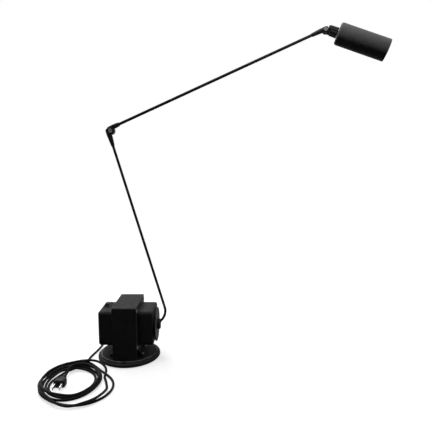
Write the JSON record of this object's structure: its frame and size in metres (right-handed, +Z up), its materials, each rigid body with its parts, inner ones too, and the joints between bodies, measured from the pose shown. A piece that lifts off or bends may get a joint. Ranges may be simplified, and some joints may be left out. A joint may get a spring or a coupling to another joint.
{
  "type": "desk lamp",
  "caption": "Desk lamp with a small cylindrical head on jointed thin rods, above a transformer block that turns on a round foot, with its mains cord in a loose coil.",
  "frame": {"origin": "centre of the underside of the round foot", "axes": "+Z up; +X from the foot towards the head, to the right in the picture; +Y away from the viewer, and the lower arm's pivot axis lies along X"},
  "size_m": [0.6787, 0.3408, 0.6935],
  "materials": {
    "black_paint": "satin",
    "black_aluminium": "satin",
    "core_sheet": "matte",
    "zinc_steel": "satin",
    "black_plastic": "satin",
    "black_rubber": "matte",
    "cord_sheath": "satin",
    "copper_wire": "satin",
    "former_plastic": "matte",
    "friction_fibre": "matte",
    "bright_aluminium": "polished",
    "porcelain": "satin",
    "quartz_glass": "gloss"
  },
  "bodies": {
    "foot": {"base_pad": "black_rubber", "base_disc": "black_paint", "swivel_bolt": "zinc_steel", "swivel_washer": "zinc_steel", "swivel_nut": "zinc_steel", "cord_relief": "black_rubber", "cord_lead": "cord_sheath", "cord_coil": "cord_sheath", "plug_body": "black_plastic", "plug_blade_1": "zinc_steel", "plug_blade_2": "zinc_steel"},
    "transformer_block": {"turntable": "black_paint", "foot_left": "black_paint", "foot_right": "black_paint", "foot_screw_1": "zinc_steel", "foot_screw_2": "zinc_steel", "foot_screw_3": "zinc_steel", "foot_screw_4": "zinc_steel", "core_laminations": "core_sheet", "core_rivet_1": "zinc_steel", "core_rivet_2": "zinc_steel", "core_rivet_3": "zinc_steel", "core_rivet_4": "zinc_steel", "core_band": "black_paint", "bobbin": "former_plastic", "winding": "copper_wire", "left_cover": "black_paint", "right_cover": "black_paint", "switch_housing": "black_plastic", "tilt_friction_washer": "friction_fibre"},
    "rocker": {"switch_rocker": "black_plastic"},
    "lower_arm": {"tilt_disc": "black_paint", "tilt_hub": "black_paint", "tilt_axle": "zinc_steel", "tilt_nut": "zinc_steel", "tilt_inner_washer": "zinc_steel", "lower_arm_tube": "black_paint", "lower_arm_lead": "black_rubber"},
    "elbow_swivel": {"elbow_lower": "black_plastic", "elbow_pin": "zinc_steel", "elbow_nut": "zinc_steel", "elbow_washer": "friction_fibre"},
    "upper_arm": {"elbow_upper": "black_plastic", "upper_arm_tube": "black_paint", "upper_arm_lead": "black_rubber"},
    "head_swivel": {"wrist_collar": "black_plastic", "wrist_pin": "zinc_steel", "wrist_nut": "zinc_steel", "wrist_washer": "friction_fibre"},
    "head": {"head_neck": "black_plastic", "neck_nut": "zinc_steel", "head_shell": "black_aluminium", "holder_bracket": "zinc_steel", "holder_screw_1": "zinc_steel", "holder_screw_2": "zinc_steel", "lamp_holder": "porcelain", "bulb": "quartz_glass", "reflector": "bright_aluminium"}
  },
  "joints": [
    {"name": "block_turn", "type": "hinge", "parent": "foot", "child": "transformer_block", "pos_m": [0, 0, 0.01], "axis": [0, 0, 1], "range_deg": [-160, 160]},
    {"name": "arm_tilt", "type": "hinge", "parent": "transformer_block", "child": "lower_arm", "pos_m": [0, 0, 0.0715], "axis": [1, 0, 0], "range_deg": [-60, 60]},
    {"name": "elbow_turn", "type": "hinge", "parent": "lower_arm", "child": "elbow_swivel", "pos_m": [-0.03266, 0, 0.4807], "axis": [-0.2847, 0, 0.9586], "range_deg": [-160, 160]},
    {"name": "elbow_bend", "type": "hinge", "parent": "elbow_swivel", "child": "upper_arm", "pos_m": [-0.02729, 0, 0.48229], "axis": [0, 1, 0], "range_deg": [-75, 60]},
    {"name": "head_turn", "type": "hinge", "parent": "upper_arm", "child": "head_swivel", "pos_m": [0.40604, 0, 0.68272], "axis": [0.9125, 0, 0.4091], "range_deg": [-160, 160]},
    {"name": "head_tilt", "type": "hinge", "parent": "head_swivel", "child": "head", "pos_m": [0.40732, -0.00064, 0.67986], "axis": [0.0813, 0.9801, -0.1813], "range_deg": [-40, 75]},
    {"name": "switch_rock", "type": "hinge", "parent": "transformer_block", "child": "rocker", "pos_m": [-0.0469, 0.011, 0.11], "axis": [1, 0, 0], "range_deg": [0, 18]}
  ]
}
